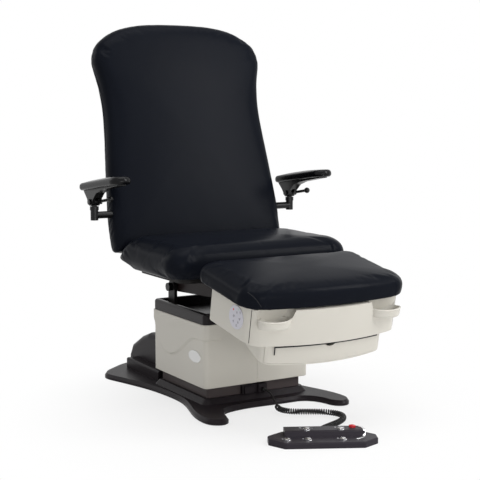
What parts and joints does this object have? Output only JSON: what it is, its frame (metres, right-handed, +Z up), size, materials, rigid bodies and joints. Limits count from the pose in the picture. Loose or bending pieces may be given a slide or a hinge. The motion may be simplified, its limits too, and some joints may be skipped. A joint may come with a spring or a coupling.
{
  "type": "podiatry chair",
  "caption": "Powered podiatry chair with a telescoping lift column, tilting seat, reclining back, hinged sliding leg section with debris tray, swing armrests and corded foot control.",
  "frame": {"origin": "on the floor under the middle of the lift column", "axes": "+Z up, the patient faces -Y, the patient's right hand is at -X"},
  "size_m": [0.914, 1.3698, 1.3504],
  "materials": {
    "base_plastic": "satin moulded plastic, dark brown-black",
    "skirt_paint": "satin powder coat, dark",
    "steel": "machined",
    "cover_ivory": "smooth ivory moulding, low sheen",
    "rim_black": "semi-gloss black",
    "badge_white": "plain oval plate, bare",
    "frame_paint": "black powder coat",
    "saddle_paint": "dark brown-black enamel",
    "vinyl_black": "smooth glossy coated upholstery",
    "board_wood": "plywood stained black",
    "shell_black": "textured black shell",
    "pad_black": "semi-gloss skinned foam",
    "arm_black": "satin black",
    "keypad_grey": "printed membrane with plain symbols",
    "pedal_black": "fine texture",
    "chrome": "polished",
    "stop_red": "red dome",
    "silver_trim": "satin",
    "cord_black": "smooth jacket",
    "foot_rubber": "matt",
    "motor_grey": "grey enamel"
  },
  "bodies": {
    "base": {"base_cover": "base_plastic", "base_frame": "steel", "levelling_feet": "foot_rubber", "column_skirt": "skirt_paint", "lift_cylinder": "steel", "pump_cover": "base_plastic", "pump_unit": "motor_grey", "power_inlet": "pedal_black", "cord_socket": "base_plastic", "foot_control_base": "pedal_black", "foot_control_deck": "pedal_black", "foot_control_arc": "silver_trim", "cord_plug": "cord_black", "cord_lead": "cord_black", "cord_coil": "cord_black"},
    "lower_stage": {"sleeve_lower": "skirt_paint", "ram_lower": "steel"},
    "upper_stage": {"sleeve_upper": "skirt_paint", "ram_upper": "steel"},
    "carriage": {"cover_left": "cover_ivory", "cover_right": "cover_ivory", "column_rim": "rim_black", "badge_plate": "badge_white", "head_plate": "frame_paint", "tilt_pin": "arm_black", "tilt_drive": "motor_grey"},
    "chair": {"saddle": "saddle_paint", "seat_frame": "frame_paint", "seat_board": "board_wood", "seat_cushion": "vinyl_black", "hinge_pins": "steel", "back_drive": "motor_grey", "leg_drive": "motor_grey"},
    "back": {"back_frame": "frame_paint", "back_cushion": "vinyl_black", "back_shell": "shell_black", "arm_bars": "arm_black"},
    "leg": {"leg_frame": "frame_paint", "leg_housing": "cover_ivory", "keypad": "keypad_grey"},
    "foot_slide": {"slide_frame": "frame_paint", "leg_cushion": "vinyl_black", "front_panel": "cover_ivory", "pull_handles": "cover_ivory"},
    "tray": {"debris_tray": "cover_ivory"},
    "post_left": {"arm_post_left": "arm_black"},
    "armrest_left": {"arm_bracket_left": "arm_black", "arm_pad_left": "pad_black"},
    "clamp_left": {"arm_lever_left": "arm_black"},
    "post_right": {"arm_post_right": "arm_black"},
    "armrest_right": {"arm_bracket_right": "arm_black", "arm_pad_right": "pad_black"},
    "clamp_right": {"arm_lever_right": "arm_black"},
    "button_chair_up": {"foot_button_chair_up": "chrome"},
    "button_chair_down": {"foot_button_chair_down": "chrome"},
    "button_back_up": {"foot_button_back_up": "chrome"},
    "button_back_down": {"foot_button_back_down": "chrome"},
    "button_home": {"foot_button_home": "chrome"},
    "button_stop": {"foot_button_stop": "stop_red"}
  },
  "joints": [
    {"name": "lift_lower", "type": "slide", "parent": "base", "child": "lower_stage", "axis": [0, 0, 1], "range_m": [0, 0.152]},
    {"name": "lift_upper", "type": "slide", "parent": "lower_stage", "child": "upper_stage", "axis": [0, 0, 1], "range_m": [0, 0.152]},
    {"name": "lift_head", "type": "slide", "parent": "upper_stage", "child": "carriage", "axis": [0, 0, 1], "range_m": [0, 0.152]},
    {"name": "chair_tilt", "type": "hinge", "parent": "carriage", "child": "chair", "pos_m": [0, 0.14, 0.386], "axis": [-1, 0, 0], "range_deg": [0, 30]},
    {"name": "back_recline", "type": "hinge", "parent": "chair", "child": "back", "pos_m": [0, 0.264, 0.472], "axis": [-1, 0, 0], "range_deg": [0, 76]},
    {"name": "leg_lift", "type": "hinge", "parent": "chair", "child": "leg", "pos_m": [0, -0.345, 0.458], "axis": [-1, 0, 0], "range_deg": [-60, 10]},
    {"name": "foot_extension", "type": "slide", "parent": "leg", "child": "foot_slide", "axis": [0, -0.9848, -0.1736], "range_m": [0, 0.2]},
    {"name": "tray_slide", "type": "slide", "parent": "leg", "child": "tray", "axis": [0, -0.9848, -0.1736], "range_m": [0, 0.18]},
    {"name": "arm_swing_left", "type": "hinge", "parent": "back", "child": "post_left", "pos_m": [-0.418, 0.25, 0.66], "axis": [0, 0, -1], "range_deg": [0, 30]},
    {"name": "arm_pitch_left", "type": "hinge", "parent": "post_left", "child": "armrest_left", "pos_m": [-0.418, 0.25, 0.7], "axis": [-1, 0, 0], "range_deg": [-15, 45]},
    {"name": "clamp_lever_left", "type": "hinge", "parent": "armrest_left", "child": "clamp_left", "pos_m": [-0.418, 0.25, 0.7], "axis": [1, 0, 0], "range_deg": [0, 60]},
    {"name": "arm_swing_right", "type": "hinge", "parent": "back", "child": "post_right", "pos_m": [0.418, 0.25, 0.66], "axis": [0, 0, 1], "range_deg": [0, 30]},
    {"name": "arm_pitch_right", "type": "hinge", "parent": "post_right", "child": "armrest_right", "pos_m": [0.418, 0.25, 0.7], "axis": [-1, 0, 0], "range_deg": [-15, 45]},
    {"name": "clamp_lever_right", "type": "hinge", "parent": "armrest_right", "child": "clamp_right", "pos_m": [0.418, 0.25, 0.7], "axis": [1, 0, 0], "range_deg": [0, 60]},
    {"name": "press_chair_up", "type": "slide", "parent": "base", "child": "button_chair_up", "axis": [0, 0, -1], "range_m": [0, 0.003], "stiffness_N_per_m": 600, "springref_m": -0.002},
    {"name": "press_chair_down", "type": "slide", "parent": "base", "child": "button_chair_down", "axis": [0, 0, -1], "range_m": [0, 0.003], "stiffness_N_per_m": 600, "springref_m": -0.002},
    {"name": "press_back_up", "type": "slide", "parent": "base", "child": "button_back_up", "axis": [0, 0, -1], "range_m": [0, 0.003], "stiffness_N_per_m": 600, "springref_m": -0.002},
    {"name": "press_back_down", "type": "slide", "parent": "base", "child": "button_back_down", "axis": [0, 0, -1], "range_m": [0, 0.003], "stiffness_N_per_m": 600, "springref_m": -0.002},
    {"name": "press_home", "type": "slide", "parent": "base", "child": "button_home", "axis": [0, 0, -1], "range_m": [0, 0.003], "stiffness_N_per_m": 600, "springref_m": -0.002},
    {"name": "press_stop", "type": "slide", "parent": "base", "child": "button_stop", "axis": [0, 0, -1], "range_m": [0, 0.003], "stiffness_N_per_m": 600, "springref_m": -0.002}
  ],
  "couplings": [
    {"joint": "lift_upper", "follows": "lift_lower", "ratio": 1},
    {"joint": "lift_head", "follows": "lift_lower", "ratio": 1}
  ]
}
